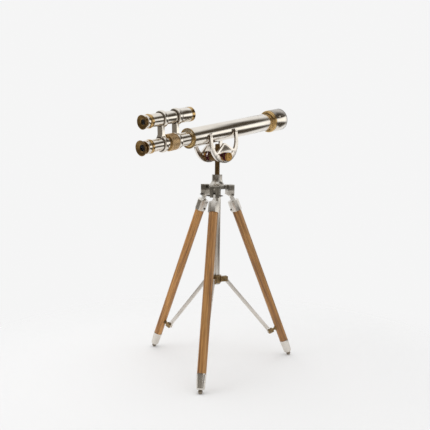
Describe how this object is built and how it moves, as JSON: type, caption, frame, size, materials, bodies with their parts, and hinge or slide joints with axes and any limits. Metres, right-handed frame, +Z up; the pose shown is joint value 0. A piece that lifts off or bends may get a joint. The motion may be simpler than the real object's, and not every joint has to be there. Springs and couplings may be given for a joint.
{
  "type": "decorative telescope",
  "caption": "Decorative tabletop telescope with a smaller sighting scope clamped above it, carried by a tilting yoke on a folding wooden tripod with a bar spreader.",
  "frame": {"origin": "middle of the bounding box at floor level", "axes": "+Z up, +X along the sight line towards the objective, the side with the near knob faces -Y"},
  "size_m": [0.3726, 0.2528, 0.4804],
  "materials": {
    "nickel": "polished nickel plate",
    "satin_nickel": "satin nickel plate",
    "brass": "antique lacquered",
    "dark_brass": "dark antique patina",
    "knurled_brass": "knurled, dull",
    "cast_nickel": "tumbled nickel casting",
    "dark_casting": "rough dark nickel",
    "dark_steel": "darkened steel",
    "washer": "dyed maroon",
    "wood": "satin varnish, fine straight grain",
    "glass": "clear polished"
  },
  "bodies": {
    "tripod_head": {"head_casting": "dark_casting", "lug_screws": "dark_steel", "hip_pins": "dark_steel", "centre_column": "satin_nickel", "column_stop": "satin_nickel"},
    "pan": {"pan_post": "dark_brass", "post_collar": "dark_casting", "tilt_barrel": "dark_brass", "tilt_axle": "brass", "inner_washers": "washer"},
    "tube": {"yoke_near": "cast_nickel", "yoke_far": "cast_nickel", "outer_washers": "washer", "yoke_screws": "nickel", "main_tube": "nickel", "tube_collar": "brass", "objective_ring": "brass", "lens_hood": "nickel", "hood_screw": "nickel", "objective_lens": "glass"},
    "near_knob": {"knob_near": "brass"},
    "far_knob": {"knob_far": "brass"},
    "focus": {"draw_tube": "nickel", "clamp_rear": "nickel", "clamp_front": "nickel", "clamp_screws": "dark_steel", "eyepiece_sleeve": "nickel", "eyepiece_ring": "brass", "eyepiece_drum": "nickel", "eyecup": "brass", "eye_lens": "glass", "finder_tube": "nickel", "finder_ring": "brass", "finder_bell": "nickel", "finder_bezel": "brass", "finder_lens": "glass"},
    "wheel": {"focus_wheel": "knurled_brass"},
    "finder_eyepiece": {"finder_drum": "nickel", "finder_eyecup": "brass", "finder_eye_lens": "glass"},
    "hub": {"spreader_hub": "dark_brass", "hub_pins": "dark_steel"},
    "front_leg": {"socket_front": "satin_nickel", "fixings_front": "dark_steel", "leg_front": "wood", "foot_front": "satin_nickel", "bracket_front": "dark_brass"},
    "front_bar": {"bar_front": "satin_nickel"},
    "left_leg": {"socket_left": "satin_nickel", "fixings_left": "dark_steel", "leg_left": "wood", "foot_left": "satin_nickel", "bracket_left": "dark_brass"},
    "left_bar": {"bar_left": "satin_nickel"},
    "right_leg": {"socket_right": "satin_nickel", "fixings_right": "dark_steel", "leg_right": "wood", "foot_right": "satin_nickel", "bracket_right": "dark_brass"},
    "right_bar": {"bar_right": "satin_nickel"}
  },
  "joints": [
    {"name": "pan_turn", "type": "hinge", "parent": "tripod_head", "child": "pan", "pos_m": [0.00037, -0.03396, 0.36], "axis": [0, 0, 1], "continuous": true},
    {"name": "tilt", "type": "hinge", "parent": "pan", "child": "tube", "pos_m": [0.00037, -0.03396, 0.387], "axis": [0, -1, 0], "range_deg": [-54, 50.9]},
    {"name": "near_knob_turn", "type": "hinge", "parent": "pan", "child": "near_knob", "pos_m": [0.00037, -0.06096, 0.387], "axis": [0, -1, 0], "range_deg": [0, 360]},
    {"name": "far_knob_turn", "type": "hinge", "parent": "pan", "child": "far_knob", "pos_m": [0.00037, -0.00696, 0.387], "axis": [0, 1, 0], "range_deg": [0, 360]},
    {"name": "focus_slide", "type": "slide", "parent": "tube", "child": "focus", "axis": [0.9876, 0, 0.1573], "range_m": [-0.03, 0.02]},
    {"name": "wheel_turn", "type": "hinge", "parent": "focus", "child": "wheel", "pos_m": [-0.11738, -0.03396, 0.41169], "axis": [0.9876, 0, 0.1573], "continuous": true},
    {"name": "finder_focus", "type": "slide", "parent": "focus", "child": "finder_eyepiece", "axis": [0.9876, 0, 0.1573], "range_m": [-0.012, 0]},
    {"name": "front_fold", "type": "hinge", "parent": "tripod_head", "child": "front_leg", "pos_m": [-0.02243, -0.04916, 0.3175], "axis": [0.5548, -0.832, 0], "range_deg": [0, 18]},
    {"name": "left_fold", "type": "hinge", "parent": "tripod_head", "child": "left_leg", "pos_m": [-0.0014, -0.00662, 0.3175], "axis": [-0.9979, -0.0645, 0], "range_deg": [0, 18]},
    {"name": "right_fold", "type": "hinge", "parent": "tripod_head", "child": "right_leg", "pos_m": [0.02493, -0.0461, 0.3175], "axis": [0.4431, 0.8965, 0], "range_deg": [0, 18]},
    {"name": "hub_slide", "type": "slide", "parent": "tripod_head", "child": "hub", "axis": [0, 0, 1], "range_m": [0, 0.018]},
    {"name": "front_bar_swing", "type": "hinge", "parent": "hub", "child": "front_bar", "pos_m": [-0.01544, -0.0445, 0.16], "axis": [0.5548, -0.832, 0], "range_deg": [0, 38]},
    {"name": "left_bar_swing", "type": "hinge", "parent": "hub", "child": "left_bar", "pos_m": [-0.00086, -0.015, 0.16], "axis": [-0.9979, -0.0645, 0], "range_deg": [0, 38]},
    {"name": "right_bar_swing", "type": "hinge", "parent": "hub", "child": "right_bar", "pos_m": [0.0174, -0.04238, 0.16], "axis": [0.4431, 0.8965, 0], "range_deg": [0, 38]}
  ],
  "couplings": [
    {"joint": "left_fold", "follows": "front_fold", "ratio": 1},
    {"joint": "right_fold", "follows": "front_fold", "ratio": 1},
    {"joint": "hub_slide", "follows": "front_fold", "m_per_rad": 0.05654},
    {"joint": "front_bar_swing", "follows": "front_fold", "ratio": 2.0936},
    {"joint": "left_bar_swing", "follows": "front_fold", "ratio": 2.0936},
    {"joint": "right_bar_swing", "follows": "front_fold", "ratio": 2.0936}
  ]
}
